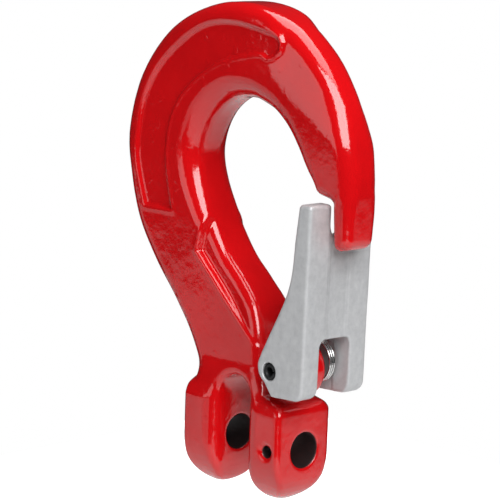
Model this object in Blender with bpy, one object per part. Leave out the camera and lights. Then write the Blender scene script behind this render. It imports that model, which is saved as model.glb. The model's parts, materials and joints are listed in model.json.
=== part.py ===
"""Clevis sling hook with a sprung cast latch.

Frame: the origin is the centre of the load-pin bore, midway between the clevis ears.
+X points to the tip of the hook, +Z from the clevis to the bowl, and the hook is
symmetrical about the plane Y = 0. All sizes are in metres.
"""

import math

import bmesh
import bpy
from mathutils import Vector

# ---- driving dimensions ------------------------------------------------------

REACH = 0.0935            # load-pin centre to the inside of the bowl's crown
BACK_REACH = 0.0195       # how far the throat runs back behind the load-pin centre
NOSE_REACH = 0.0371       # outside of the tip, ahead of the load-pin centre
TIP_DROP = 0.0368         # tip end below the inside of the crown
CROWN_DEPTH = 0.0254      # metal over the crown
BACK_DEPTH = 0.0298       # metal behind the throat
SHANK_DEPTH = 0.0270      # metal of the shank, square to its own line
TIP_DEPTH = 0.0066        # metal of the tip's end
BODY_THICKNESS = 0.0165   # shank and bowl, along Y
TIP_THICKNESS = 0.0100    # tip end, along Y

EAR_SPAN = 0.0380         # outside to outside of the two ears
SLOT_WIDTH = 0.0122       # chain slot between the ears
SLOT_ROOT = 0.0184        # top of the slot above the load-pin centre
SLOT_FLARE = 0.0042       # rounding of the slot's two mouths
EAR_WIDTH = 0.0204        # ears, along Y
EAR_DROP = 0.0150         # bottom of the ears below the load-pin centre
EAR_TOP = 0.0104          # top of the ears' flat outer faces
LOAD_PIN_BORE = 0.0098    # bore for the load pin
RETAINER_BORE = 0.0032    # cross hole for the pin that keeps the load pin in

PIVOT_X = 0.0165          # latch pivot, ahead of the load-pin centre
PIVOT_RISE = 0.0124       # and above the ears' flat faces
PIVOT_PIN = 0.0046        # outside of the hollow spring pin
PIVOT_PIN_HOLE = 0.0022   # its hollow
LUG_RADIUS = 0.0080       # rounded end of the lug that carries the latch
LUG_PLAY = 0.0005         # lug to the near leg of the latch

LATCH_WIDTH = 0.0240      # latch, along Y
LATCH_WEB = 0.0077        # thickness of the web, along X
PRONG_GAP = 0.0076        # gap between the two prongs under the tip
PRONG_DEPTH = 0.0051      # thickness of a prong's end, along X
PRONG_LAP = 0.0122        # how far the prongs reach up past the tip's end
LEDGE_LAP = 0.0146        # how far the tip's step stands above its end
NOTCH_WIDTH = 0.0114      # gap between the two legs round the lug
WEB_RECESS = 0.0008       # hollow of the web between the side bars

SPRING_AHEAD = 0.0024     # the loose coil's centre, ahead of the pivot
SPRING_ABOVE = 0.0018     # and above it
SPRING_WIRE = 0.0007
SPRING_TURNS = 3.4

SLIDE_GAP = 0.0003        # clearance between pieces that touch or turn on each other

# ---- places worked out from them ---------------------------------------------

CROWN = REACH
BACK = -BACK_REACH
TIP_END = REACH - TIP_DROP
SEAT_X = NOSE_REACH - TIP_DEPTH             # face of the tip that the latch closes against
LATCH_TOP = TIP_END + PRONG_LAP
LEDGE = TIP_END + LEDGE_LAP                 # step of the tip above the prongs
LATCH_FACE_X = SEAT_X - SLIDE_GAP           # outer face of the latch at its top
PIVOT_Z = EAR_TOP + PIVOT_RISE
PIVOT = Vector((PIVOT_X, 0.0, PIVOT_Z))
COIL_PITCH = SPRING_WIRE * 1.14
COIL_ROOM = SPRING_TURNS * COIL_PITCH + SPRING_WIRE + 2 * SLIDE_GAP
COIL_RADIUS = (PIVOT_PIN / 2 + math.hypot(SPRING_AHEAD, SPRING_ABOVE)
               + SPRING_WIRE / 2 + SLIDE_GAP / 2)    # the coil hangs on the pin
LUG_FRONT = NOTCH_WIDTH / 2 - LUG_PLAY
LUG_BACK = NOTCH_WIDTH / 2 - COIL_ROOM
WEB_INNER_X = LATCH_FACE_X - LATCH_WEB
NOTCH_ROOF = PIVOT_Z + LUG_RADIUS + 0.0018
BORE_SEGMENTS = 40


def material(name, colour, roughness, metallic):
    """A plain Principled material."""
    made = bpy.data.materials.new(name)
    made.use_nodes = True
    shader = made.node_tree.nodes["Principled BSDF"]
    shader.inputs["Base Color"].default_value = (*colour, 1.0)
    shader.inputs["Roughness"].default_value = roughness
    shader.inputs["Metallic"].default_value = metallic
    return made


def add_object(name, mesh_data, finish=None):
    """Put a mesh in the scene as one named object."""
    made = bpy.data.objects.new(name, mesh_data)
    bpy.context.scene.collection.objects.link(made)
    if finish is not None:
        mesh_data.materials.append(finish)
    return made


def skin(rings):
    """A closed mesh over a row of rings that all have the same number of points."""
    shell = bmesh.new()
    rows = [[shell.verts.new(point) for point in ring] for ring in rings]
    count = len(rows[0])
    for low, high in zip(rows, rows[1:]):
        for i in range(count):
            j = (i + 1) % count
            shell.faces.new((low[i], low[j], high[j], high[i]))
    shell.faces.new(list(reversed(rows[0])))
    shell.faces.new(rows[-1])
    bmesh.ops.recalc_face_normals(shell, faces=shell.faces)
    data = bpy.data.meshes.new("skin")
    shell.to_mesh(data)
    shell.free()
    return data


def plate_y(outline, y_low, y_high):
    """An (x, z) outline as a plate between two Y values."""
    return skin([[Vector((x, y, z)) for x, z in outline] for y in (y_low, y_high)])


def plate_x(outline, x_low, x_high):
    """A (y, z) outline as a plate between two X values."""
    return skin([[Vector((x, y, z)) for y, z in outline] for x in (x_low, x_high)])


def arc(centre, radius, start, end, steps, squash=1.0):
    """Points of an arc, angles in degrees, its second axis scaled by squash."""
    points = []
    for i in range(steps + 1):
        angle = math.radians(start + (end - start) * i / steps)
        points.append((centre[0] + radius * math.cos(angle),
                       centre[1] + radius * squash * math.sin(angle)))
    return points


def rod(axis, centre, radius, low, high, segments=BORE_SEGMENTS):
    """A round bar along 'X' or 'Y', centred on two coordinates."""
    circle = arc(centre, radius, 0.0, 360.0, segments)[:-1]
    return plate_x(circle, low, high) if axis == "X" else plate_y(circle, low, high)


def cut(target, tool_mesh, operation="DIFFERENCE"):
    """Cut, join or trim an object with a mesh."""
    tool = add_object("cutter", tool_mesh)
    change = target.modifiers.new("cut", "BOOLEAN")
    change.operation = operation
    change.solver = "EXACT"
    change.object = tool
    depsgraph = bpy.context.evaluated_depsgraph_get()
    result = bpy.data.meshes.new_from_object(target.evaluated_get(depsgraph))
    target.modifiers.clear()
    target.data = result
    bpy.data.objects.remove(tool)


def smooth_rows(rows, steps):
    """Points of a Catmull-Rom curve through rows of equal length."""
    padded = [rows[0], *rows, rows[-1]]
    out = []
    for a, b, c, d in zip(padded, padded[1:], padded[2:], padded[3:]):
        for i in range(steps):
            t = i / steps
            out.append([0.5 * (2 * q + (r - p) * t + (2 * p - 5 * q + 4 * r - s) * t * t
                               + (3 * q - p - 3 * r + s) * t ** 3)
                        for p, q, r, s in zip(a, b, c, d)])
    out.append(list(rows[-1]))
    return out


# ---- hook body ---------------------------------------------------------------

def section(inner, outer, thickness, inner_round, outer_round):
    """One cross-section of the hook: a plate-like ring with rounded edges."""
    inner, outer = Vector((inner[0], 0.0, inner[1])), Vector((outer[0], 0.0, outer[1]))
    depth = (outer - inner).length
    along = (outer - inner).normalized()
    half = thickness / 2
    r_in = min(inner_round * thickness, depth * 0.45, half * 0.96)
    r_out = min(outer_round * thickness, depth * 0.45, half * 0.96)
    ring = []
    for centre, radius, start, steps in (
            ((depth - r_out, half - r_out), r_out, 0.0, 4),
            ((r_in, half - r_in), r_in, 90.0, 5),
            ((r_in, r_in - half), r_in, 180.0, 5),
            ((depth - r_out, r_out - half), r_out, 270.0, 4)):
        for u, y in arc(centre, radius, start, start + 90.0, steps):
            ring.append(inner + along * u + Vector((0.0, y, 0.0)))
    return ring


def hook_rows():
    """Inner and outer points (x, z), thickness and edge rounding, from neck to tip."""
    back_out = BACK - BACK_DEPTH
    crown_out = CROWN + CROWN_DEPTH
    full = BODY_THICKNESS
    slant = SHANK_DEPTH * 0.97
    return [
        (0.0090, 0.0130, -0.0150, 0.0130, full, 0.20, 0.20),
        (0.0082, 0.0270, -0.0172, 0.0195, full, 0.26, 0.24),
        (0.0047, 0.0370, 0.0047 - slant, 0.0270, full, 0.34, 0.26),
        (-0.0020, 0.0440, -0.0022 - slant, 0.0358, full, 0.42, 0.26),
        (-0.0090, 0.0505, -0.0094 - SHANK_DEPTH, 0.0445, full, 0.44, 0.26),
        (-0.0143, CROWN - 0.0335, back_out + 0.0054, CROWN - 0.0380, full, 0.46, 0.27),
        (BACK + 0.0008, CROWN - 0.0230, back_out + 0.0012, CROWN - 0.0250, full, 0.46, 0.27),
        (BACK, CROWN - 0.0150, back_out, CROWN - 0.0120, full, 0.46, 0.27),
        (BACK + 0.0037, CROWN - 0.0070, back_out + 0.0052, CROWN + 0.0040, full, 0.46, 0.27),
        (BACK + 0.0105, CROWN - 0.0014, back_out + 0.0168, CROWN + 0.0171, full, 0.46, 0.27),
        (BACK + 0.0185, CROWN, -0.0168, crown_out - 0.0012, full, 0.46, 0.27),
        (0.0045, CROWN - 0.0010, -0.0015, crown_out, full, 0.46, 0.28),
        (0.0088, CROWN - 0.0028, 0.0110, crown_out - 0.0036, full * 0.98, 0.45, 0.29),
        (0.0132, CROWN - 0.0062, 0.0226, crown_out - 0.0126, full * 0.93, 0.42, 0.30),
        (0.0172, CROWN - 0.0110, 0.0304, CROWN + 0.0025, full * 0.88, 0.38, 0.31),
        (0.0205, CROWN - 0.0160, 0.0345, CROWN - 0.0070, full * 0.82, 0.34, 0.32),
        (0.0232, CROWN - 0.0195, NOSE_REACH - 0.0008, CROWN - 0.0165, full * 0.76, 0.30, 0.33),
        (0.0248, LEDGE, NOSE_REACH, LEDGE + 0.0002, full * 0.70, 0.26, 0.34),
    ]


def hook_body(finish):
    """The one-piece forging: neck, shank, bowl, tip, lug and the two clevis ears."""
    rows = smooth_rows(hook_rows(), 4)
    ledge = rows[-1]
    root_thickness = ledge[4]
    rings = [section(r[0:2], r[2:4], r[4], r[5], r[6]) for r in rows]
    body = add_object("hook_body", skin(rings), finish)

    # The tip below the ledge: thinner both ways, standing in front of the latch.
    tip_rows = []
    for i in range(15):
        t = (i / 14) ** 0.7
        z = LEDGE + 0.0008 - t * (LEDGE + 0.0008 - TIP_END)
        thick = root_thickness + (TIP_THICKNESS - root_thickness) * t
        rounding = max(0.0, t - 0.80) / 0.20
        inset = TIP_DEPTH * 0.19 * (1.0 - math.sqrt(1.0 - rounding ** 2))
        tip_rows.append(section((SEAT_X + inset, z), (NOSE_REACH - 0.0002 * t - inset, z),
                                thick - 2 * inset, 0.20, 0.34))
    cut(body, skin(tip_rows), "UNION")

    # Clevis head: the side outline and the front outline trimmed by each other.
    half_span, half_width = EAR_SPAN / 2, EAR_WIDTH / 2
    flat_low = -0.0066
    toe = SLOT_WIDTH / 2 + 0.0040
    toe_round = half_span - toe
    heel = arc((toe, flat_low), toe_round, -90.0, 0.0, 7, squash=(EAR_DROP + flat_low) / toe_round)
    shoulder_round = 0.0030
    shoulder = arc((half_span - shoulder_round, EAR_TOP), shoulder_round, 0.0, 78.0, 5)
    neck = half_span - 0.0048
    side = [*heel, *shoulder, (neck - 0.0035, EAR_TOP + 0.0052), (0.0080, SLOT_ROOT + 0.0040),
            (-0.0120, SLOT_ROOT + 0.0060), (-neck, SLOT_ROOT + 0.0010),
            *[(-x, z + 0.0015) for x, z in reversed(shoulder)], *[(-x, z) for x, z in reversed(heel)]]
    head = add_object("head", plate_y(side, -half_width, half_width))
    chin = -0.0010
    waist = BODY_THICKNESS / 2
    cheek = [(half_width, EAR_TOP + 0.0015), (half_width - 0.0008, EAR_TOP + 0.0050),
             (waist, EAR_TOP + 0.0092), (waist - 0.0010, SLOT_ROOT + 0.0080)]
    front = [*arc((0.0, chin), half_width, 180.0, 360.0, 22, squash=(EAR_DROP + chin) / half_width),
             *cheek, *[(-y, z) for y, z in reversed(cheek)]]
    cut(head, plate_x(front, -0.05, 0.05), "INTERSECT")
    cut(body, head.data.copy(), "UNION")
    bpy.data.objects.remove(head)

    # Lug for the latch, between the latch's legs.
    round_end = arc((PIVOT_X, PIVOT_Z), LUG_RADIUS, -62.0, 150.0, 22)
    lug = [(0.0, 0.0130), (0.0135, 0.0125), *round_end, (0.0040, PIVOT_Z + 0.0050), (0.0, PIVOT_Z)]
    cut(body, plate_y(lug, -LUG_FRONT, LUG_BACK), "UNION")

    # Chain slot: arched root, mouths flared, toes of the ears rounded towards it.
    toe_top = -0.0062
    toe_reach = 0.0050
    rings = []
    for i in range(-8, 9):
        y = half_width * 1.02 * i / 8
        into = min(1.0, max(0.0, abs(y) - (half_width - SLOT_FLARE)) / SLOT_FLARE)
        wide = SLOT_WIDTH / 2 + SLOT_FLARE * (1.0 - math.sqrt(1.0 - into ** 2)) * 0.8
        toes = [(wide + toe_reach, -0.03),
                *arc((wide + toe_reach, toe_top), toe_reach, -90.0, -180.0, 6,
                     squash=(EAR_DROP + toe_top) / toe_reach)]
        crown = arc((0.0, SLOT_ROOT - SLOT_WIDTH / 2), wide, 0.0, 180.0, 12)
        rings.append([Vector((x, y, z)) for x, z in
                      [*toes, *crown, *[(-x, z) for x, z in reversed(toes)]]])
    cut(body, skin(rings))

    # Bores: load pin through both ears, retainer through one, pivot pin through the lug.
    cut(body, rod("X", (0.0, 0.0), LOAD_PIN_BORE / 2, -0.05, 0.05))
    retainer_x = (half_span + SLOT_WIDTH / 2) / 2 + 0.0018
    cut(body, rod("Y", (retainer_x, 0.0), RETAINER_BORE / 2, -0.05, 0.0, 24))
    cut(body, rod("Y", (PIVOT_X, PIVOT_Z), PIVOT_PIN / 2 + SLIDE_GAP, -0.05, 0.05))
    return body


# ---- latch -------------------------------------------------------------------

def latch(finish):
    """The casting that closes the throat: two side bars joined by a web, forked at both ends."""
    half = LATCH_WIDTH / 2
    shoulder_z = TIP_END + 0.0030
    foot_z = PIVOT_Z - 0.0068
    heel_round = 0.0036
    face_low = LATCH_FACE_X - 0.0012
    prong_in = LATCH_FACE_X - PRONG_DEPTH
    outline = [
        (PIVOT_X + 0.0008, foot_z),
        *arc((face_low - heel_round, foot_z + heel_round + 0.0004), heel_round, -80.0, 0.0, 5),
        (LATCH_FACE_X, LATCH_TOP - 0.0012), (LATCH_FACE_X - 0.0010, LATCH_TOP - 0.0001),
        *arc((prong_in + 0.0014, LATCH_TOP - 0.0014), 0.0014, 90.0, 180.0, 3),
        (prong_in - 0.0010, shoulder_z - 0.0010), (prong_in - 0.0020, shoulder_z - 0.0105),
        (WEB_INNER_X - 0.0018, NOTCH_ROOF + 0.0095), (PIVOT_X - 0.0019, NOTCH_ROOF - 0.0020),
        *arc((PIVOT_X, PIVOT_Z + 0.0010), 0.0047, 158.0, 245.0, 6),
    ]
    body = add_object("latch", plate_y(outline, -half, half), finish)

    # Gap between the prongs, with a round bottom.
    gap = PRONG_GAP / 2
    above = LATCH_TOP + 0.01
    cup = arc((0.0, shoulder_z + gap), gap, 180.0, 360.0, 10)
    cut(body, plate_x([*cup, (gap, above), (-gap, above)], -0.02, 0.09))

    # Notch between the legs, with rounded upper corners.
    notch = NOTCH_WIDTH / 2
    corner = 0.0022
    below = PIVOT_Z - 0.03
    top = [*arc((notch - corner, NOTCH_ROOF - corner), corner, 0.0, 90.0, 4),
           *arc((corner - notch, NOTCH_ROOF - corner), corner, 90.0, 180.0, 4)]
    cut(body, plate_x([(notch, below), *top, (-notch, below)], -0.02, 0.09))

    # Channel behind the web, where the spring's arm bears.
    channel_top = shoulder_z - 0.0060
    cut(body, plate_x([(-notch, below), (notch, below), (notch, channel_top - 0.0020),
                       (notch - 0.0020, channel_top), (0.0020 - notch, channel_top),
                       (-notch, channel_top - 0.0020)], -0.02, WEB_INNER_X))

    # Recessed outer face of the web.
    cut(body, plate_x([(-gap, PIVOT_Z), (gap, PIVOT_Z), (gap, above), (-gap, above)],
                      LATCH_FACE_X - WEB_RECESS - 0.0005, 0.09))

    cut(body, rod("Y", (PIVOT_X, PIVOT_Z), PIVOT_PIN / 2 + SLIDE_GAP, -0.05, 0.05))
    return body


def latch_pin(finish):
    """The hollow spring pin that the latch turns on."""
    half = LATCH_WIDTH / 2 - 0.0002
    body = add_object("latch_pin", rod("Y", (PIVOT_X, PIVOT_Z), PIVOT_PIN / 2, -half, half, 32), finish)
    cut(body, rod("Y", (PIVOT_X, PIVOT_Z), PIVOT_PIN_HOLE / 2, -0.05, 0.05, 20))
    return body


def latch_spring(finish):
    """The torsion spring: a loose coil hung on the pin, and an arm up behind the web."""
    centre = PIVOT + Vector((SPRING_AHEAD, 0.0, SPRING_ABOVE))
    first_y = LUG_BACK + SLIDE_GAP + SPRING_WIRE / 2
    lift_off = math.radians(135.0)
    turn_steps = 22
    steps = round(turn_steps * SPRING_TURNS)
    path = []
    for i in range(steps + 1):
        back = 2 * math.pi * (steps - i) / turn_steps
        path.append(centre + Vector((COIL_RADIUS * math.cos(lift_off + back),
                                     first_y + COIL_PITCH * SPRING_TURNS * i / steps,
                                     COIL_RADIUS * math.sin(lift_off + back))))
    leave = path[-1]
    arm = (WEB_INNER_X - SLIDE_GAP - SPRING_WIRE * 0.7 - leave.x) / math.sin(lift_off)
    path.append(leave + Vector((math.sin(lift_off), 0.0, -math.cos(lift_off))) * arm)
    curve = bpy.data.curves.new("latch_spring", "CURVE")
    curve.dimensions = "3D"
    curve.bevel_depth = SPRING_WIRE / 2
    curve.bevel_resolution = 2
    curve.use_fill_caps = True
    spline = curve.splines.new("POLY")
    spline.points.add(len(path) - 1)
    for point, place in zip(spline.points, path):
        point.co = (*place, 1.0)
    curve.materials.append(finish)
    made = bpy.data.objects.new("latch_spring", curve)
    bpy.context.scene.collection.objects.link(made)
    return made


def put_origin(target, place):
    """Move an object's origin to a place and leave its shape where it is."""
    for vertex in target.data.vertices:
        vertex.co -= place
    target.location = place


for old in list(bpy.data.objects):
    bpy.data.objects.remove(old)

enamel = material("red_enamel", (0.60, 0.008, 0.012), 0.22, 0.0)
casting = material("cast_latch", (0.45, 0.46, 0.47), 0.42, 0.85)
black_steel = material("black_pin", (0.02, 0.02, 0.022), 0.45, 0.6)
spring_steel = material("spring_steel", (0.62, 0.62, 0.62), 0.22, 1.0)

hook = hook_body(enamel)
gate = latch(casting)
put_origin(gate, PIVOT)
latch_pin(black_steel)
latch_spring(spring_steel)
for piece in (hook, gate, bpy.data.objects["latch_pin"]):
    piece.data.shade_smooth()
    piece.data.set_sharp_from_angle(angle=math.radians(38.0))
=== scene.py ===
import json
import math

import bpy
import numpy as np
from mathutils import Matrix, Vector


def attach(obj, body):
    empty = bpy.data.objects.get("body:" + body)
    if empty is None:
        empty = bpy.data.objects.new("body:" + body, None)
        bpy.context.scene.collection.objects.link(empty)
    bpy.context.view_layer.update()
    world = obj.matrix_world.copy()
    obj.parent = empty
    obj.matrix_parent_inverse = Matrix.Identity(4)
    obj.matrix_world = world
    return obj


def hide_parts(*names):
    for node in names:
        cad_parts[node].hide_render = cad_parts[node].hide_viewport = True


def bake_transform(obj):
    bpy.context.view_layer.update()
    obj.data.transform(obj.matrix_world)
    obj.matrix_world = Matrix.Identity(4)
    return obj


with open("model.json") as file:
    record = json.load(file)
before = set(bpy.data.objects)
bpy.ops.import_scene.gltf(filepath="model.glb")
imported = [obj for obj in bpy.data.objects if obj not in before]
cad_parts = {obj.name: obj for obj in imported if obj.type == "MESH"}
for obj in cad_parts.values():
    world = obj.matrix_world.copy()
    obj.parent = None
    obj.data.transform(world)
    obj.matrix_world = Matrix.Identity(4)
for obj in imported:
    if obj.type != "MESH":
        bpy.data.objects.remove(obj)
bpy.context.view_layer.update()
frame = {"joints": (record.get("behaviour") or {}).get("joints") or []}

# ---- studio ------------------------------------------------------------------
# A pale floor well below the hook, a white surround, and large soft lights: two panels in
# front and one on the tip side that the enamel mirrors, a top panel and a fill.

bpy.context.scene.view_settings.view_transform = "Standard"

world = bpy.data.worlds.new("white_surround")
bpy.context.scene.world = world
world.use_nodes = True
surround, join = world.node_tree.nodes, world.node_tree.links.new
surround.clear()
surround_out = surround.new("ShaderNodeOutputWorld")
white_behind = surround.new("ShaderNodeBackground")
white_behind.inputs["Color"].default_value = (1.0, 1.0, 1.0, 1.0)
faint_fill = surround.new("ShaderNodeBackground")
faint_fill.inputs["Color"].default_value = (0.92, 0.95, 1.0, 1.0)
faint_fill.inputs["Strength"].default_value = 0.03
light_path = surround.new("ShaderNodeLightPath")
seen_or_lit = surround.new("ShaderNodeMixShader")
join(light_path.outputs["Is Camera Ray"], seen_or_lit.inputs["Fac"])
join(faint_fill.outputs["Background"], seen_or_lit.inputs[1])
join(white_behind.outputs["Background"], seen_or_lit.inputs[2])
join(seen_or_lit.outputs["Shader"], surround_out.inputs["Surface"])

FLOOR_Z = -0.30
FLOOR_REACH = 0.9
floor_mesh = bpy.data.meshes.new("floor")
floor_corners = [(x * FLOOR_REACH, y * FLOOR_REACH, FLOOR_Z)
                 for x, y in ((-1, -1), (1, -1), (1, 1), (-1, 1))]
floor_mesh.from_pydata(floor_corners, [], [(0, 1, 2, 3)])
floor = bpy.data.objects.new("floor", floor_mesh)
bpy.context.scene.collection.objects.link(floor)
pale = bpy.data.materials.new("pale_floor")
pale.use_nodes = True
pale_nodes, join = pale.node_tree.nodes, pale.node_tree.links.new
pale_shader = pale_nodes["Principled BSDF"]
pale_shader.inputs["Base Color"].default_value = (0.8, 0.8, 0.8, 1.0)
pale_shader.inputs["Roughness"].default_value = 0.9
pale_shader.inputs["Emission Strength"].default_value = 1.0
floor_path = pale_nodes.new("ShaderNodeLightPath")
floor_glow = pale_nodes.new("ShaderNodeMix")
floor_glow.data_type = "RGBA"
floor_glow.inputs["A"].default_value = (0.04, 0.04, 0.04, 1.0)
floor_glow.inputs["B"].default_value = (1.0, 1.0, 1.0, 1.0)
join(floor_path.outputs["Is Camera Ray"], floor_glow.inputs["Factor"])
join(floor_glow.outputs["Result"], pale_shader.inputs["Emission Color"])
floor_mesh.materials.append(pale)

LOOK_AT = Vector((-0.0046, 0.0, 0.0514))


def towards(azimuth, elevation):
    """The direction from the hook at two angles in degrees."""
    a, e = math.radians(azimuth), math.radians(elevation)
    return Vector((math.sin(a) * math.cos(e), -math.cos(a) * math.cos(e), math.sin(e)))


def panel(name, azimuth, elevation, distance, width, height, power):
    """A soft light panel that faces the hook; azimuth 0 is in front, 90 on the tip side."""
    data = bpy.data.lights.new(name, "AREA")
    data.shape = "RECTANGLE"
    data.size = width
    data.size_y = height
    data.energy = power
    lamp = bpy.data.objects.new(name, data)
    lamp.location = LOOK_AT + distance * towards(azimuth, elevation)
    lamp.rotation_euler = (LOOK_AT - lamp.location).to_track_quat("-Z", "Y").to_euler()
    bpy.context.scene.collection.objects.link(lamp)


panel("low_front_panel", -46.0, -30.7, 1.2, 1.3, 0.90, 2.1)
panel("left_panel", -21.0, 8.8, 1.5, 0.96, 0.70, 3.0)
panel("tip_side_panel", 134.0, -29.0, 1.3, 0.9, 0.8, 0.8)
panel("top_panel", 150.0, 80.0, 1.4, 1.6, 0.9, 19.0)
panel("right_fill", 62.0, 38.0, 1.9, 1.3, 1.3, 45.0)

# The camera stands in front on the tip side, a little above the hook, and leans slightly.
VIEW_AZIMUTH, VIEW_ELEVATION, VIEW_ROLL = 46.0, 9.7, 2.0
VIEW_DISTANCE = 0.600
view_back = towards(VIEW_AZIMUTH, VIEW_ELEVATION)
view_right = towards(VIEW_AZIMUTH + 90.0, 0.0)
view_turn = Matrix((view_right, view_back.cross(view_right), view_back)).transposed().to_4x4()
camera_data = bpy.data.cameras.new("camera")
camera_data.sensor_width = 36.0
camera_data.lens = 157.8
camera_data.clip_start = 0.02
camera_data.clip_end = 30.0
camera = bpy.data.objects.new("camera", camera_data)
camera.matrix_world = (Matrix.Translation(LOOK_AT + view_back * VIEW_DISTANCE) @ view_turn
                       @ Matrix.Rotation(math.radians(VIEW_ROLL), 4, "Z"))
bpy.context.scene.collection.objects.link(camera)
bpy.context.scene.camera = camera

# ---- forging -----------------------------------------------------------------
# The hook's body is one drop forging of alloy steel: bowl, tapered tip, shank, latch lug
# and two clevis ears, whose parts run into each other with forged fillets. It is drilled
# for its pins and coated in a thick glossy red enamel with a slight orange peel.

REACH, BACK, NOSE = 0.0935, -0.0195, 0.0375
TIP_END, LEDGE, TIP_DEPTH = 0.0567, 0.0713, 0.0066
BACK_OUT, CROWN_OUT = -0.0493, 0.1189
THICK = 0.0165

# From the neck round the bowl to the ledge: the inner and outer points (x, z), then the
# share of the full thickness and the roundings of the inner and outer edges as shares of it.
SPINE = [
    (0.0090, 0.0130, -0.0150, 0.0130, 1.00, 0.18, 0.20),
    (0.0082, 0.0270, -0.0172, 0.0195, 1.00, 0.18, 0.24),
    (0.0047, 0.0370, -0.0215, 0.0270, 1.00, 0.18, 0.26),
    (-0.0020, 0.0440, -0.0284, 0.0358, 1.00, 0.19, 0.26),
    (-0.0090, 0.0505, -0.0364, 0.0445, 1.00, 0.21, 0.26),
    (-0.0153, REACH - 0.0335, BACK_OUT + 0.0054, REACH - 0.0380, 1.00, 0.30, 0.27),
    (BACK - 0.0005, REACH - 0.0230, BACK_OUT + 0.0012, REACH - 0.0250, 1.00, 0.36, 0.27),
    (BACK - 0.0012, REACH - 0.0150, BACK_OUT, REACH - 0.0120, 1.00, 0.38, 0.27),
    (BACK + 0.0029, REACH - 0.0066, BACK_OUT + 0.0052, REACH + 0.0040, 1.00, 0.40, 0.27),
    (BACK + 0.0103, REACH - 0.0010, BACK_OUT + 0.0168, REACH + 0.0171, 1.00, 0.40, 0.27),
    (BACK + 0.0185, REACH + 0.0002, -0.0168, CROWN_OUT - 0.0012, 1.00, 0.40, 0.27),
    (0.0045, REACH - 0.0010, -0.0015, CROWN_OUT, 1.00, 0.38, 0.25),
    (0.0088, REACH - 0.0028, 0.0110, CROWN_OUT - 0.0036, 0.97, 0.36, 0.25),
    (0.0132, REACH - 0.0062, 0.0230, CROWN_OUT - 0.0123, 0.93, 0.32, 0.25),
    (0.0172, REACH - 0.0110, 0.0311, REACH + 0.0028, 0.88, 0.27, 0.26),
    (0.0205, REACH - 0.0160, 0.0353, REACH - 0.0068, 0.83, 0.22, 0.27),
    (0.0232, REACH - 0.0195, NOSE - 0.0002, REACH - 0.0165, 0.78, 0.18, 0.28),
    (0.0248, LEDGE + 0.0002, NOSE + 0.0002, LEDGE + 0.0002, 0.74, 0.15, 0.29),
]


def flowing(rows, steps):
    """Rows of a smooth curve through the given rows, with so many steps from each to the next."""
    rows = np.array(rows, float)
    padded = np.vstack([rows[:1], rows, rows[-1:]])
    t = (np.arange(steps) / steps)[:, None]
    out = []
    for a, b, c, d in zip(padded, padded[1:], padded[2:], padded[3:]):
        out.append(0.5 * (2 * b + (c - a) * t + (2 * a - 5 * b + 4 * c - d) * t ** 2
                          + (3 * b - a - 3 * c + d) * t ** 3))
    return np.vstack([*out, rows[-1:]])


def round_arc(cx, cy, radius, start, end, steps=8, squash=1.0):
    """Points of an arc between two angles in degrees."""
    angles = np.radians(np.linspace(start, end, steps + 1))
    return np.stack([cx + radius * np.cos(angles), cy + radius * squash * np.sin(angles)], 1)


def edge_distance(points, u, v, closed=True):
    """Distance from every place (u, v) to a line of points, and whether the line goes round it."""
    points = np.asarray(points, float)
    ends = np.roll(points, -1, 0) if closed else points[1:]
    starts = points if closed else points[:-1]
    nearest = np.full(u.shape, 1e9)
    inside = np.zeros(u.shape, bool)
    for (ax, ay), (bx, by) in zip(starts, ends):
        ex, ey = bx - ax, by - ay
        length = ex * ex + ey * ey
        if length < 1e-16:
            continue
        t = np.clip(((u - ax) * ex + (v - ay) * ey) / length, 0.0, 1.0)
        nearest = np.minimum(nearest, (u - ax - t * ex) ** 2 + (v - ay - t * ey) ** 2)
        if abs(ey) > 1e-12:
            crosses = (ay > v) != (by > v)
            inside ^= crosses & (u < ex * (v - ay) / ey + ax)
    return np.sqrt(nearest), inside


def outline_field(points, u, v):
    """Signed distance to a closed outline, negative inside."""
    gap, inside = edge_distance(points, u, v)
    return np.where(inside, -gap, gap)


def ramp(value):
    """Smooth step from 0 to 1 as the value goes from 0 to 1."""
    value = np.clip(value, 0.0, 1.0)
    return value * value * (3.0 - 2.0 * value)


def slab(side, half, rounding):
    """A plate with round edges: the signed distances to its outline and to its two faces."""
    a, b = side + rounding, half + rounding
    return np.hypot(np.maximum(a, 0.0), np.maximum(b, 0.0)) + np.minimum(np.maximum(a, b), 0.0) - rounding


def weld(a, b, fillet):
    """Two solids joined with a fillet."""
    near = np.maximum(fillet - np.abs(a - b), 0.0) / fillet
    return np.minimum(a, b) - near * near * fillet * 0.25


def carve(a, b, rounding):
    """One solid with another taken away, the new edge rounded."""
    near = np.maximum(rounding - np.abs(a + b), 0.0) / rounding
    return np.maximum(a, -b) + near * near * rounding * 0.25


def cell_mix(table, place, wrap=None, ease=False):
    """Values read from a three-way table at free places, mixed from the eight nearest."""
    base = np.floor(place).astype(int)
    if wrap is None:
        base = np.clip(base, 0, np.array(table.shape) - 2)
    t = place - base
    if ease:
        t = t * t * (3.0 - 2.0 * t)
    total = np.zeros(len(place))
    for corner in np.ndindex(2, 2, 2):
        weight = np.prod([t[:, i] if corner[i] else 1.0 - t[:, i] for i in range(3)], axis=0)
        index = base + corner if wrap is None else (base + corner) % wrap
        total += weight * table[tuple(index.T)]
    return total


def neighbours(axis):
    """Two ways to slice a lattice, so that each point meets the next one along an axis."""
    first, second = [slice(None)] * 3, [slice(None)] * 3
    first[axis], second[axis] = slice(0, -1), slice(1, None)
    return tuple(first), tuple(second)


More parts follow.
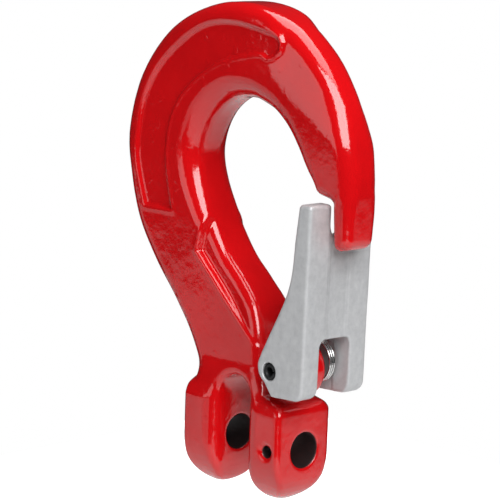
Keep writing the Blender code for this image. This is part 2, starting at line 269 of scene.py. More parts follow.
def skin_field(field, low, step):
    """Points and four-sided faces on the zero level of a field, faces pointing outwards."""
    inside = field < 0.0
    cells = tuple(n - 1 for n in field.shape)

    # One point in each cell that the surface passes: the middle of its crossings.
    sums = np.zeros(cells + (3,), np.float32)
    counts = np.zeros(cells, np.float32)
    for axis in range(3):
        first, second = neighbours(axis)
        where = np.argwhere(inside[first] != inside[second])
        value_a, value_b = field[first][tuple(where.T)], field[second][tuple(where.T)]
        spot = where.astype(np.float32)
        spot[:, axis] += value_a / (value_a - value_b)
        others = [i for i in range(3) if i != axis]
        for shift in np.ndindex(2, 2):
            cell = where.copy()
            cell[:, others] -= shift
            good = np.all((cell >= 0) & (cell < np.array(cells)), axis=1)
            np.add.at(sums, tuple(cell[good].T), spot[good])
            np.add.at(counts, tuple(cell[good].T), 1.0)
    used = counts > 0
    number = np.full(cells, -1, int)
    number[used] = np.arange(used.sum())
    points = low + step * sums[used] / counts[used][:, None]

    # One face round each crossing, between the points of its four cells.
    faces = []
    for axis in range(3):
        first, second = neighbours(axis)
        change = inside[first].astype(int) - inside[second].astype(int)
        where = np.argwhere(change != 0)
        sign = change[tuple(where.T)]
        others = [(axis + 1) % 3, (axis + 2) % 3]
        good = np.all((where[:, others] > 0) & (where[:, others] < np.array(cells)[others]), axis=1)
        where, sign = where[good], sign[good]
        ring = []
        for shift in ((1, 1), (0, 1), (0, 0), (1, 0)):
            cell = where.copy()
            cell[:, others] -= shift
            ring.append(number[tuple(cell.T)])
        ring = np.stack(ring, 1)
        ring[sign < 0] = ring[sign < 0][:, ::-1]
        faces.append(ring)

    # The points slide along the field's slope until they lie on the zero level.
    def value_at(places):
        return cell_mix(field, (places - low) / step)

    for _ in range(3):
        slope = np.stack([(value_at(points + d) - value_at(points - d)) / step
                          for d in np.eye(3) * step * 0.5], 1)
        move = value_at(points) / np.maximum((slope ** 2).sum(1), 0.25)
        points = points - np.clip(move, -0.5 * step, 0.5 * step)[:, None] * slope
    return points, np.vstack(faces)


def lattice(low, high, step):
    """The three axes of a block of space, and its side plane (x, z)."""
    xs, ys, zs = (np.arange(a, b + step, step) for a, b in zip(low, high))
    return xs, ys, zs, *np.meshgrid(xs, zs, indexing="ij")


def lumps(points, size, seed):
    """Smooth random hills and hollows, about plus and minus one."""
    span = 64
    table = np.random.default_rng(seed).uniform(-1.0, 1.0, (span, span, span))
    return cell_mix(table, points / size + 500.0, wrap=span, ease=True)


def build_mesh(name, points, faces):
    """A mesh object from arrays of points and four-sided faces."""
    data = bpy.data.meshes.new(name)
    data.vertices.add(len(points))
    data.vertices.foreach_set("co", np.asarray(points, np.float32).ravel())
    data.loops.add(faces.size)
    data.loops.foreach_set("vertex_index", faces.astype(np.int32).ravel())
    data.polygons.add(len(faces))
    data.polygons.foreach_set("loop_start", np.arange(0, faces.size, faces.shape[1], dtype=np.int32))
    data.update(calc_edges=True)
    data.validate()
    data.shade_smooth()
    made = bpy.data.objects.new(name, data)
    bpy.context.scene.collection.objects.link(made)
    return made


def normals_of(points, faces):
    """Point normals of a mesh in arrays."""
    a, b, c, d = (points[faces[:, i]] for i in range(4))
    flat = np.cross(c - a, d - b)
    total = np.zeros_like(points)
    for i in range(4):
        np.add.at(total, faces[:, i], flat)
    return total / np.maximum(np.linalg.norm(total, axis=1, keepdims=True), 1e-12)


def thinned(made, limit):
    """The same object with no more triangles than the limit, the flat stretches thinned most."""
    triangles = 2 * len(made.data.polygons)
    if triangles <= limit:
        return made
    change = made.modifiers.new("thin", "DECIMATE")
    change.ratio = limit / triangles
    depsgraph = bpy.context.evaluated_depsgraph_get()
    data = bpy.data.meshes.new_from_object(made.evaluated_get(depsgraph))
    made.modifiers.clear()
    made.data = data
    data.shade_smooth()
    return made


forging_step = 0.00042
forging_low = np.array([-0.0515, -0.0120, -0.0165])
forging_high = np.array([0.0390, 0.0120, 0.1208])
xs, ys, zs, plan_x, plan_z = lattice(forging_low, forging_high, forging_step)

# Side outline of the bowl, shank and tip.
rows = flowing(SPINE, 8)
inner_line, outer_line = rows[:, 0:2], rows[:, 2:4]
seat_x = NOSE - TIP_DEPTH
tip_round = 0.0020
toe_round = tip_round * 1.5
tip_line = np.vstack([
    [(0.0258, LEDGE - 0.0004), (seat_x - 0.0010, LEDGE - 0.0013), (seat_x, LEDGE - 0.0021)],
    [(seat_x, TIP_END + tip_round)],
    round_arc(seat_x + tip_round, TIP_END + tip_round, tip_round, 180.0, 262.0, 6),
    round_arc(NOSE - 0.0004 - toe_round, TIP_END + toe_round + 0.0004, toe_round, 278.0, 360.0, 6),
])
bowl_side = outline_field(np.vstack([inner_line, tip_line, outer_line[::-1]]), plan_x, plan_z)

# Thickness and edge rounding of the nearest stretch of the bowl.
middle = (inner_line + outer_line) / 2
TIP_SPOTS = 6
tip_middle = np.array([((seat_x + NOSE) / 2, z) for z in np.linspace(LEDGE - 0.003, TIP_END, TIP_SPOTS)])
tip_share = np.linspace(0.71, 0.63, TIP_SPOTS)
spots = np.vstack([middle, tip_middle])
shares = np.concatenate([rows[:, 4], tip_share])
rounds_in = np.concatenate([rows[:, 5], np.full(TIP_SPOTS, 0.13)])
rounds_out = np.concatenate([rows[:, 6], np.full(TIP_SPOTS, 0.20)])
weights = np.zeros(plan_x.shape)
share_field, in_field, out_field = (np.zeros(plan_x.shape) for _ in range(3))
for (sx, sz), share, r_in, r_out in zip(spots, shares, rounds_in, rounds_out):
    weight = 1.0 / ((plan_x - sx) ** 2 + (plan_z - sz) ** 2 + 4e-6) ** 3
    weights += weight
    share_field += weight * share
    in_field += weight * r_in
    out_field += weight * r_out
half_thick = share_field / weights * THICK / 2
inner_gap = edge_distance(np.vstack([inner_line, tip_line[:3]]), plan_x, plan_z, closed=False)[0]
outer_gap = edge_distance(outer_line, plan_x, plan_z, closed=False)[0]
outward = ramp((inner_gap / (inner_gap + outer_gap + 1e-9) - 0.30) / 0.40)
edge_round = (in_field * (1 - outward) + out_field * outward) / weights * THICK

# Crescent recess on each side of the bowl: a wide slope at the back, a sharp inner edge.
CRESCENT_DEPTH = 0.00075
crescent_out = flowing([(0.0095, 0.1120), (-0.0055, 0.1142), (-0.0190, 0.1120), (-0.0330, 0.1025),
                        (-0.0406, 0.0925), (-0.0434, 0.0822), (-0.0436, 0.0722), (-0.0396, 0.0598)], 6)
crescent_in = flowing([(0.0072, 0.1052), (0.0030, 0.1060), (-0.0124, 0.1019), (-0.0242, 0.0940),
                       (-0.0300, 0.0850), (-0.0312, 0.0736), (-0.0281, 0.0600)], 6)
crescent_end = np.array([(0.0112, 0.1112), (0.0123, 0.1096), (0.0118, 0.1072), (0.0096, 0.1056)])
crescent = outline_field(np.vstack([crescent_out[::-1], crescent_end, crescent_in]), plan_x, plan_z)
to_out = edge_distance(crescent_out, plan_x, plan_z, closed=False)[0]
to_in = edge_distance(crescent_in, plan_x, plan_z, closed=False)[0]
slope_width = 0.0005 + 0.0006 * ramp((to_in / (to_in + to_out + 1e-9) - 0.3) / 0.4)
recess = CRESCENT_DEPTH * ramp(-crescent / slope_width)


def raised_rim(edge, height):
    """The low ridge that the die leaves just outside a recess's edge."""
    return height * np.exp(-((edge - 0.0005) / 0.0005) ** 2)


rim = raised_rim(crescent, 0.00012)

# The tip limb's faces fall away towards its outer edge, beyond the recess.
LIMB_FALL, LIMB_WIDTH = 0.145, 0.0135
limb = ramp((plan_x - 0.0070) / 0.0080) * ramp((plan_z + 0.53 * plan_x - 0.1008) / 0.0110)
limb = limb * ramp((crescent + 0.0002) / 0.0012)
half_thick = half_thick - LIMB_FALL * limb * np.clip(LIMB_WIDTH - outer_gap, 0.0, None)

# Wedge recess on the shank: deep and square-ended above, open to the throat side, running
# out to nothing behind the latch, and much shallower on the back.
WEDGE_DEPTH, WEDGE_BACK_SHARE = 0.0021, 0.22
wedge_line = np.array([(-0.0176, 0.0500), (-0.0147, 0.0632), (-0.0050, 0.0680),
                       (0.0300, 0.0400), (0.0120, 0.0230), (0.0040, 0.0300)])
wedge = outline_field(wedge_line, plan_x, plan_z)
run = ramp(((plan_z - plan_x) - 0.0120) / 0.0380)
wedge_cut = WEDGE_DEPTH * run * ramp(-wedge / (0.0006 + 0.0004 * run))
side_share = np.where(ys < 0.0, 1.0, WEDGE_BACK_SHARE)[None, :, None]
rim = rim + raised_rim(wedge, 0.00016) * run

across = np.abs(ys)[None, :, None]
faces_in = across - (half_thick - recess + rim)[:, None, :] + wedge_cut[:, None, :] * side_share
bowl = slab(bowl_side[:, None, :], faces_in, edge_round[:, None, :])

# Clevis head: the ears in side view and in front view, with forged shoulders.
TIP_SPAN, BACK_SPAN, HALF_WIDTH = 0.0192, 0.0187, 0.0103
EAR_DROP, EAR_TOP, SLOT_ROOT = 0.0153, 0.0102, 0.0182
toe_x, toe_top = 0.0101, -0.0066


def heel(span):
    """The rounded lower outer corner of an ear whose outer face stands at the given span."""
    width = span - toe_x
    return round_arc(toe_x, toe_top, width, -90.0, 0.0, 8, squash=(EAR_DROP + toe_top) / width)


tip_shoulder_round, back_shoulder_round = 0.0028, 0.0036
tip_shoulder = round_arc(TIP_SPAN - tip_shoulder_round, EAR_TOP, tip_shoulder_round, 0.0, 76.0, 6)
back_shoulder = round_arc(BACK_SPAN - back_shoulder_round, EAR_TOP + 0.0014, back_shoulder_round,
                          0.0, 72.0, 6)
ears_side = np.vstack([heel(TIP_SPAN), tip_shoulder,
                       [(0.0110, EAR_TOP + 0.0044), (0.0080, SLOT_ROOT + 0.0038)],
                       [(-0.0122, SLOT_ROOT + 0.0050), (-0.0132, SLOT_ROOT + 0.0018)],
                       (back_shoulder * (-1, 1))[::-1], (heel(BACK_SPAN) * (-1, 1))[::-1]])
ears_side = outline_field(ears_side, plan_x, plan_z)
front_y, front_z = np.meshgrid(ys, zs, indexing="ij")
chin = -0.0010
cheek = np.array([(HALF_WIDTH, EAR_TOP + 0.0002), (HALF_WIDTH - 0.0008, EAR_TOP + 0.0026),
                  (HALF_WIDTH - 0.0024, EAR_TOP + 0.0054), (0.0066, EAR_TOP + 0.0090)])
chin_arc = round_arc(0.0, chin, HALF_WIDTH, 180.0, 360.0, 24, squash=(EAR_DROP + chin) / HALF_WIDTH)
ears_front = outline_field(np.vstack([chin_arc, cheek, (cheek * (-1, 1))[::-1]]), front_y, front_z)
rear_corner = ramp((ys + 0.002) / 0.006)[None, :, None]
ears = slab(ears_side[:, None, :], ears_front[None, :, :], 0.0015 + 0.0010 * rear_corner)
solid = weld(bowl, ears, 0.0036)

# Lug for the latch, round the latch's pivot.
PIVOT_X, _, PIVOT_Z = frame["joints"][0]["pos_m"]
LUG_RADIUS, LUG_FRONT, LUG_BACK = 0.0080, -0.0052, 0.0017
lug_side = outline_field(np.vstack([[(0.0, 0.0130), (0.0130, 0.0120)],
                                    round_arc(PIVOT_X, PIVOT_Z, LUG_RADIUS, -62.0, 150.0, 26),
                                    [(0.0040, PIVOT_Z + 0.0050), (0.0, PIVOT_Z)]]), plan_x, plan_z)
lug_across = np.abs(ys - (LUG_FRONT + LUG_BACK) / 2)[None, :, None] - (LUG_BACK - LUG_FRONT) / 2
solid = weld(solid, slab(lug_side[:, None, :], lug_across, 0.0008), 0.0022)

# Chain slot with flared mouths and rounded toes.
FLARE = 0.0042
into = np.clip((np.abs(ys) - (HALF_WIDTH - FLARE)) / FLARE, 0.0, 1.0)
flare = FLARE * 0.75 * (1.0 - np.sqrt(1.0 - into ** 2))
slot_half, slot_toe, toe_rise = 0.0061, 0.0050, 0.0062
toe_arc = round_arc(slot_half + slot_toe, -toe_rise, slot_toe, -90.0, -180.0, 8,
                    squash=(EAR_DROP - toe_rise) / slot_toe)
slot_line = np.vstack([[(slot_half + slot_toe, -0.03)], toe_arc,
                       round_arc(0.0, SLOT_ROOT - slot_half, slot_half, 0, 180, 20),
                       (toe_arc * (-1, 1))[::-1], [(-slot_half - slot_toe, -0.03)]])
slot = outline_field(slot_line, plan_x, plan_z)[:, None, :] - flare[None, :, None]
solid = carve(solid, slot, 0.0016)

# Bores for the load pin, for the small pin that keeps it in, and for the latch pin.
LOAD_BORE, KEEPER_BORE, PIVOT_BORE = 0.0049, 0.0016, 0.0026
keeper_x, keeper_end = 0.0145, -0.0020
solid = carve(solid, (np.hypot(front_y, front_z) - LOAD_BORE)[None, :, :], 0.0007)
keeper_mouth = 0.0010 * ramp((-ys - 0.0094) / 0.001)[None, :, None]
keeper = np.hypot(plan_x - keeper_x, plan_z)[:, None, :] - KEEPER_BORE - keeper_mouth
keeper = np.maximum(keeper, ys[None, :, None] - keeper_end)
solid = carve(solid, keeper, 0.0006)
pivot_bore = np.hypot(plan_x - PIVOT_X, plan_z - PIVOT_Z)[:, None, :] - PIVOT_BORE
solid = carve(solid, pivot_bore, 0.0004)

# The skin of the forging is slightly uneven, in three sizes of lump.
points, faces = skin_field(solid, forging_low, forging_step)
normals = normals_of(points, faces)
flow = (0.00003 * lumps(points, 0.013, 3) + 0.00003 * lumps(points, 0.0042, 5)
        + 0.000017 * lumps(points, 0.0015, 7))
points = points + normals * flow[:, None]
forging = thinned(build_mesh("forged_body", points, faces), 196000)

# Grain is shared by every finish: fine noise, plain and spread between two levels.
grain_tree = bpy.data.node_groups.new("grain", "ShaderNodeTree")
grain_tree.interface.new_socket("Position", in_out="INPUT", socket_type="NodeSocketVector")
for label in ("Scale", "Detail", "Roughness", "Low", "High"):
    grain_tree.interface.new_socket(label, in_out="INPUT", socket_type="NodeSocketFloat")
for label in ("Grain", "Level"):
    grain_tree.interface.new_socket(label, in_out="OUTPUT", socket_type="NodeSocketFloat")
grain_in = grain_tree.nodes.new("NodeGroupInput")
grain_out = grain_tree.nodes.new("NodeGroupOutput")
grain_noise = grain_tree.nodes.new("ShaderNodeTexNoise")
grain_spread = grain_tree.nodes.new("ShaderNodeMapRange")
join = grain_tree.links.new
join(grain_in.outputs["Position"], grain_noise.inputs["Vector"])
for label in ("Scale", "Detail", "Roughness"):
    join(grain_in.outputs[label], grain_noise.inputs[label])
join(grain_noise.outputs["Fac"], grain_spread.inputs["Value"])
join(grain_in.outputs["Low"], grain_spread.inputs["To Min"])
join(grain_in.outputs["High"], grain_spread.inputs["To Max"])
join(grain_noise.outputs["Fac"], grain_out.inputs["Grain"])
join(grain_spread.outputs["Result"], grain_out.inputs["Level"])


def new_finish(name):
    """A new material: the material, its node tree, its shader and its object coordinates."""
    finish = bpy.data.materials.new(name)
    finish.use_nodes = True
    made_tree = finish.node_tree
    place = made_tree.nodes.new("ShaderNodeTexCoord").outputs["Object"]
    return finish, made_tree, made_tree.nodes["Principled BSDF"], place


def grain(tree, position, scale, detail=2.0, roughness=0.5, low=0.0, high=1.0):
    """The shared grain with its own values; the scale is lumps per metre."""
    made = tree.nodes.new("ShaderNodeGroup")
    made.node_tree = grain_tree
    values = {"Scale": scale, "Detail": detail, "Roughness": roughness, "Low": low, "High": high}
    for label, value in values.items():
        made.inputs[label].default_value = value
    tree.links.new(position, made.inputs["Position"])
    return made


def colour_band(tree, value, stops):
    """Colours that follow a value, with the given (place, colour) stops."""
    made = tree.nodes.new("ShaderNodeValToRGB")
    band = made.color_ramp
    while len(band.elements) < len(stops):
        band.elements.new(0.5)
    for element, (where, colour) in zip(band.elements, stops):
        element.position = where
        element.color = (*colour, 1.0)
    tree.links.new(value, made.inputs["Fac"])
    return made.outputs["Color"]


def bump(tree, height, strength, distance, below=None):
    """The normal of a bump, over an optional coarser one."""
    made = tree.nodes.new("ShaderNodeBump")
    made.inputs["Strength"].default_value = strength
    made.inputs["Distance"].default_value = distance
    tree.links.new(height, made.inputs["Height"])
    if below is not None:
        tree.links.new(below, made.inputs["Normal"])
    return made.outputs["Normal"]


def reckon(tree, operation, *values):
    """The result of a math node on sockets and numbers."""
    made = tree.nodes.new("ShaderNodeMath")
    made.operation = operation
    for slot, value in zip(made.inputs, values):
        if isinstance(value, float):
            slot.default_value = value
        else:
            tree.links.new(value, slot)
    return made.outputs["Value"]


def bore_shade_mask(tree, across, along, radius):
    """White inside a round bore and black outside, from the two distances off its axis; it marks where the
    bore's shade is painted.
    """
    off_axis = tree.nodes.new("ShaderNodeCombineXYZ")
    tree.links.new(across, off_axis.inputs["X"])
    tree.links.new(along, off_axis.inputs["Y"])
    length = tree.nodes.new("ShaderNodeVectorMath")
    length.operation = "LENGTH"
    tree.links.new(off_axis.outputs["Vector"], length.inputs[0])
    edge = tree.nodes.new("ShaderNodeMapRange")
    edge.inputs["From Min"].default_value = radius + 0.00025
    edge.inputs["From Max"].default_value = radius + 0.00005
    tree.links.new(length.outputs["Value"], edge.inputs["Value"])
    return edge.outputs["Result"]


enamel, tree, shader, place = new_finish("red_enamel")
join = tree.links.new
shader.inputs["Coat Roughness"].default_value = 0.06
cloudy = grain(tree, place, 45.0, 3.0)
tint = colour_band(tree, cloudy.outputs["Grain"], [(0.30, (0.50, 0.0022, 0.0038)),
                                                   (0.55, (0.56, 0.0028, 0.0046)),
                                                   (0.80, (0.61, 0.0036, 0.0054))])
axes = tree.nodes.new("ShaderNodeSeparateXYZ")
join(place, axes.inputs["Vector"])
along_x, along_y, along_z = (axes.outputs[axis] for axis in "XYZ")
# Masks of the load pin's bore and the keeper's bore, where shade is painted into the colour and the coat is
# left off.
load_bore_shade = bore_shade_mask(tree, along_y, along_z, LOAD_BORE)
keeper_bore_shade = bore_shade_mask(tree, reckon(tree, "SUBTRACT", along_x, keeper_x), along_z, KEEPER_BORE)
keeper_bore_shade = reckon(tree, "MULTIPLY", keeper_bore_shade, reckon(tree, "LESS_THAN", along_y, 0.0))
bare_and_shaded_bore = reckon(tree, "MAXIMUM", load_bore_shade, keeper_bore_shade)

# The bores are bare, with no gloss and no clear coat, and their colour is painted shade: near black, for
# the dark inside of the holes.
bore_shade_colour = tree.nodes.new("ShaderNodeMix")
bore_shade_colour.data_type = "RGBA"
# Painted shade: the near-black colour of the insides of the bores.
bore_shade_colour.inputs["B"].default_value = (0.012, 0.004, 0.004, 1.0)
join(bare_and_shaded_bore, bore_shade_colour.inputs["Factor"])
join(tint, bore_shade_colour.inputs["A"])
join(bore_shade_colour.outputs["Result"], shader.inputs["Base Color"])
gloss = grain(tree, place, 260.0, 3.0, low=0.08, high=0.15)
bare = tree.nodes.new("ShaderNodeMix")
bare.inputs["B"].default_value = 0.62
join(bare_and_shaded_bore, bare.inputs["Factor"])
join(gloss.outputs["Level"], bare.inputs["A"])
join(bare.outputs["Result"], shader.inputs["Roughness"])
coated = tree.nodes.new("ShaderNodeMapRange")
coated.inputs["To Min"].default_value = 0.35
coated.inputs["To Max"].default_value = 0.0
join(bare_and_shaded_bore, coated.inputs["Value"])
join(coated.outputs["Result"], shader.inputs["Coat Weight"])

# Orange peel, and a few pits where the coat has drawn back.
peel = grain(tree, place, 800.0)
pits = grain(tree, place, 330.0, 1.0, 0.4)
pit_mask = colour_band(tree, pits.outputs["Grain"], [(0.66, (0.0, 0.0, 0.0)), (0.74, (1.0, 1.0, 1.0))])
peel_normal = bump(tree, peel.outputs["Grain"], 0.36, 0.00012)
join(bump(tree, pit_mask, 0.3, 0.00010, peel_normal), shader.inputs["Normal"])
forging.data.materials.clear()
forging.data.materials.append(enamel)
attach(forging, "hook")
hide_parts("hook_body")

# ---- latch -------------------------------------------------------------------
# The latch is a small casting, left bare: two side bars and a hollowed web between them,
# two prongs that close under the tip and two legs on the lug. It keeps the dull satin
# skin and the fine upright flow lines of the mould.

LATCH_HALF = 0.0120
FACE_X, FACE_LOW = 0.0300, 0.0291
LATCH_TOP, SHOULDER = 0.0690, 0.0597
NOTCH_ROOF, NOTCH_HALF, GAP_HALF = 0.0326, 0.0057, 0.0038
WEB_IN = 0.0225
foot_z = PIVOT_Z - 0.0068

latch_step = 0.00028
latch_low = np.array([0.0100, -0.0132, 0.0145])
latch_high = np.array([0.0312, 0.0132, 0.0704])
xs, ys, zs, plan_x, plan_z = lattice(latch_low, latch_high, latch_step)
front_y, front_z = np.meshgrid(ys, zs, indexing="ij")
cheek_in = flowing([(0.0241, SHOULDER - 0.0010), (0.0231, SHOULDER - 0.0105),
                    (WEB_IN - 0.0018, NOTCH_ROOF + 0.0095), (PIVOT_X - 0.0019, NOTCH_ROOF - 0.0020)], 8)
latch_side = np.vstack([
    [(PIVOT_X + 0.0008, foot_z)],
    round_arc(FACE_LOW - 0.0036, foot_z + 0.0040, 0.0036, -80.0, 0.0, 8),
    [(FACE_X, LATCH_TOP - 0.0014)],
    round_arc(FACE_X - 0.0012, LATCH_TOP - 0.0013, 0.0012, 0.0, 90.0, 5),
    round_arc(0.0265, LATCH_TOP - 0.0014, 0.0014, 90.0, 180.0, 5),
    cheek_in,
    round_arc(PIVOT_X, PIVOT_Z + 0.0010, 0.0047, 158.0, 245.0, 10),
])
latch_side = outline_field(latch_side, plan_x, plan_z)
gate_solid = slab(latch_side[:, None, :], (np.abs(ys) - LATCH_HALF)[None, :, None], 0.0010)

# Gap between the prongs, notch between the legs, and the channel behind the web.
gap_line = np.vstack([round_arc(0.0, SHOULDER + GAP_HALF, GAP_HALF, 180.0, 360.0, 16),
                      [(GAP_HALF + 0.0003, 0.09), (-GAP_HALF - 0.0003, 0.09)]])
gap = outline_field(gap_line, front_y, front_z)[None, :, :]
gate_solid = carve(gate_solid, gap, 0.0012)


def leg_opening(roof, corner, foot):
    """Outline of an opening between the legs, seen from the front, with rounded upper corners."""
    right = round_arc(NOTCH_HALF - corner, roof - corner, corner, 0, 90, 6)
    left = round_arc(corner - NOTCH_HALF, roof - corner, corner, 90, 180, 6)
    return np.vstack([[(NOTCH_HALF, foot)], right, left, [(-NOTCH_HALF, foot)]])


notch = outline_field(leg_opening(NOTCH_ROOF, 0.0022, -0.01), front_y, front_z)[None, :, :]
gate_solid = carve(gate_solid, notch, 0.0010)
channel = outline_field(leg_opening(SHOULDER - 0.006, 0.002, 0.0), front_y, front_z)[None, :, :]
channel = np.maximum(channel, (xs - WEB_IN)[:, None, None])
gate_solid = carve(gate_solid, channel, 0.0010)

# The web's outer face is hollowed between the bars, and each bar's face crowns slightly.
lean = FACE_LOW + (FACE_X - FACE_LOW) * (zs - foot_z) / (LATCH_TOP - foot_z)
hollow = 0.00045 * ramp((GAP_HALF + 0.0008 - np.abs(ys)) / 0.0016)
crown = 0.00015 * ((np.abs(ys) - 0.0079) / 0.0041) ** 2
surface = lean[None, :] - (hollow + crown * (np.abs(ys) > GAP_HALF))[:, None]
face_cut = surface[None, :, :] - xs[:, None, None]
gate_solid = carve(gate_solid, face_cut, 0.0005)
PIVOT_HOLE = 0.00245
pivot_hole = np.hypot(plan_x - PIVOT_X, plan_z - PIVOT_Z)[:, None, :] - PIVOT_HOLE
gate_solid = carve(gate_solid, pivot_hole, 0.0004)

points, faces = skin_field(gate_solid, latch_low, latch_step)
normals = normals_of(points, faces)
stretch = points * np.array([1.0, 1.0, 0.28])
flow = (0.00006 * lumps(points, 0.0075, 13) + 0.000035 * lumps(stretch, 0.0021, 15)
        + 0.000016 * lumps(points, 0.0009, 17))
points = points + normals * flow[:, None]
gate = build_mesh("cast_latch", points, faces)

casting, tree, shader, place = new_finish("satin_casting")
join = tree.links.new
shader.inputs["Metallic"].default_value = 0.30
upright = tree.nodes.new("ShaderNodeMapping")
upright.inputs["Scale"].default_value = (1.0, 1.0, 0.22)
join(place, upright.inputs["Vector"])
streaks = grain(tree, upright.outputs["Vector"], 900.0, 4.0, 0.65, low=0.36, high=0.58)
mottle = grain(tree, place, 520.0, 6.0, 0.68)
cloud = reckon(tree, "MULTIPLY", mottle.outputs["Grain"], 0.75)
cloud = reckon(tree, "MULTIPLY_ADD", streaks.outputs["Grain"], 0.25, cloud)
tone = colour_band(tree, cloud, [(0.34, (0.45, 0.455, 0.465)), (0.50, (0.51, 0.515, 0.525)),
                                 (0.68, (0.57, 0.575, 0.58))])
join(tone, shader.inputs["Base Color"])
join(streaks.outputs["Level"], shader.inputs["Roughness"])
grit = grain(tree, place, 1500.0, 3.0, 0.6)
mould_skin = bump(tree, mottle.outputs["Grain"], 0.45, 0.00010)
join(bump(tree, grit.outputs["Grain"], 0.35, 0.00006, mould_skin), shader.inputs["Normal"])
gate.data.materials.clear()
gate.data.materials.append(casting)
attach(gate, "gate")
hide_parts("latch")

# ---- latch pin ---------------------------------------------------------------
# A hollow slotted spring pin, rolled from black oxidised strip with chamfered ends, and
# driven flush through both legs and the lug.

PIN_RADIUS, PIN_HALF = 0.0023, 0.0118
PIN_HOLE, PIN_SPLIT = 0.0011, 0.00018
pin_step = 0.00012
pin_low = np.array([PIVOT_X - 0.0027, -PIN_HALF - 0.0006, PIVOT_Z - 0.0027])
pin_high = np.array([PIVOT_X + 0.0027, PIN_HALF + 0.0006, PIVOT_Z + 0.0027])
_, ys, _, plan_x, plan_z = lattice(pin_low, pin_high, pin_step)
off_x, off_z = plan_x - PIVOT_X, plan_z - PIVOT_Z
ring = np.abs(np.hypot(off_x, off_z) - (PIN_RADIUS + PIN_HOLE) / 2) - (PIN_RADIUS - PIN_HOLE) / 2
split = np.maximum(np.abs(off_z) - PIN_SPLIT, -off_x)
chamfer = np.clip(np.abs(ys) - (PIN_HALF - 0.0005), 0.0, None) * 0.6
pin_ends = (np.abs(ys) - PIN_HALF)[None, :, None]
pin_solid = slab(ring[:, None, :] + chamfer[None, :, None], pin_ends, 0.00012)
pin_solid = carve(pin_solid, split[:, None, :], 0.0001)
points, faces = skin_field(pin_solid, pin_low, pin_step)
pin = thinned(build_mesh("spring_pin", points, faces), 40000)

blackened, tree, shader, place = new_finish("black_oxide")
join = tree.links.new
shader.inputs["Metallic"].default_value = 0.5
patina = grain(tree, place, 700.0, 3.0, low=0.38, high=0.60)
dark = colour_band(tree, patina.outputs["Grain"], [(0.35, (0.006, 0.006, 0.007)),
                                                   (0.70, (0.022, 0.022, 0.024))])
join(dark, shader.inputs["Base Color"])
join(patina.outputs["Level"], shader.inputs["Roughness"])
join(bump(tree, patina.outputs["Grain"], 0.3, 0.00003), shader.inputs["Normal"])
pin.data.materials.clear()
pin.data.materials.append(blackened)
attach(pin, "hook")
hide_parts("latch_pin")

# ---- latch spring ------------------------------------------------------------
# A torsion spring of bright drawn wire. Its loose coil hangs on the pin behind the lug,
# and its arm runs up behind the latch's web.

WIRE = 0.00066
COIL_RADIUS, COIL_PITCH, COIL_TURNS = 0.0058, 0.000798, 3.4
COIL_X, COIL_Z = PIVOT_X + 0.0024, PIVOT_Z + 0.0018
FIRST_Y = LUG_BACK + 0.00064
LIFT_OFF = math.radians(135.0)
coil_tree = bpy.data.node_groups.new("torsion_coil", "GeometryNodeTree")
coil_tree.interface.new_socket("Path", in_out="INPUT", socket_type="NodeSocketGeometry")
for label, kind in (("Wire Radius", "NodeSocketFloat"), ("Sides", "NodeSocketInt"),
                    ("Steel", "NodeSocketMaterial")):
    coil_tree.interface.new_socket(label, in_out="INPUT", socket_type=kind)
coil_tree.interface.new_socket("Geometry", in_out="OUTPUT", socket_type="NodeSocketGeometry")
coil_in = coil_tree.nodes.new("NodeGroupInput")
coil_out = coil_tree.nodes.new("NodeGroupOutput")
as_curve = coil_tree.nodes.new("GeometryNodeMeshToCurve")
wire_ring = coil_tree.nodes.new("GeometryNodeCurvePrimitiveCircle")
sweep = coil_tree.nodes.new("GeometryNodeCurveToMesh")
sweep.inputs["Fill Caps"].default_value = True
smooth = coil_tree.nodes.new("GeometryNodeSetShadeSmooth")
real = coil_tree.nodes.new("GeometryNodeRealizeInstances")
dress = coil_tree.nodes.new("GeometryNodeSetMaterial")
join = coil_tree.links.new
join(coil_in.outputs["Path"], as_curve.inputs["Mesh"])
join(coil_in.outputs["Sides"], wire_ring.inputs["Resolution"])
join(coil_in.outputs["Wire Radius"], wire_ring.inputs["Radius"])
join(as_curve.outputs["Curve"], sweep.inputs["Curve"])
join(wire_ring.outputs["Curve"], sweep.inputs["Profile Curve"])
join(sweep.outputs["Mesh"], smooth.inputs["Geometry"])
join(smooth.outputs["Geometry"], real.inputs["Geometry"])
join(real.outputs["Geometry"], dress.inputs["Geometry"])
join(coil_in.outputs["Steel"], dress.inputs["Material"])
join(dress.outputs["Geometry"], coil_out.inputs["Geometry"])

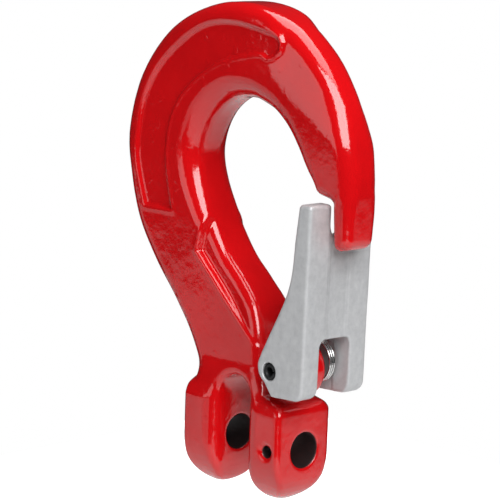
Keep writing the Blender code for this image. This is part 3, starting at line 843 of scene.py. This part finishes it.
# The coil winds towards the back, then the arm leaves it straight, up to the latch's web.
TURN_STEPS, ARM_STEPS = 64, 12
steps = round(TURN_STEPS * COIL_TURNS)
path = []
for i in range(steps + 1):
    angle = LIFT_OFF + 2 * math.pi * (steps - i) / TURN_STEPS
    path.append((COIL_X + COIL_RADIUS * math.cos(angle), FIRST_Y + COIL_PITCH * COIL_TURNS * i / steps,
                 COIL_Z + COIL_RADIUS * math.sin(angle)))
leave = Vector(path[-1])
reach = (WEB_IN - 0.0008 - leave.x) / math.sin(LIFT_OFF)
arm_way = Vector((math.sin(LIFT_OFF), 0.0, -math.cos(LIFT_OFF)))
for i in range(1, ARM_STEPS + 1):
    path.append(tuple(leave + arm_way * reach * i / ARM_STEPS))
path_mesh = bpy.data.meshes.new("spring_path")
path_mesh.from_pydata(path, [(i, i + 1) for i in range(len(path) - 1)], [])
path_object = bpy.data.objects.new("spring_path", path_mesh)
bpy.context.scene.collection.objects.link(path_object)

wire_steel, tree, shader, place = new_finish("drawn_wire")
join = tree.links.new
shader.inputs["Metallic"].default_value = 1.0
drawn = grain(tree, place, 1100.0, 3.0, low=0.14, high=0.30)
bright = colour_band(tree, drawn.outputs["Grain"], [(0.30, (0.42, 0.42, 0.42)), (0.70, (0.74, 0.74, 0.73))])
join(bright, shader.inputs["Base Color"])
join(drawn.outputs["Level"], shader.inputs["Roughness"])

sweep_change = path_object.modifiers.new("coil", "NODES")
sweep_change.node_group = coil_tree
sockets = {item.name: item.identifier for item in coil_tree.interface.items_tree if item.in_out == "INPUT"}
sweep_change[sockets["Wire Radius"]] = WIRE / 2
sweep_change[sockets["Sides"]] = 14
sweep_change[sockets["Steel"]] = wire_steel
depsgraph = bpy.context.evaluated_depsgraph_get()
spring_mesh = bpy.data.meshes.new_from_object(path_object.evaluated_get(depsgraph))
bpy.data.objects.remove(path_object)
spring = bpy.data.objects.new("torsion_spring", spring_mesh)
bpy.context.scene.collection.objects.link(spring)
spring_mesh.materials.clear()
spring_mesh.materials.append(wire_steel)
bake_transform(spring)
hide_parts("latch_spring")
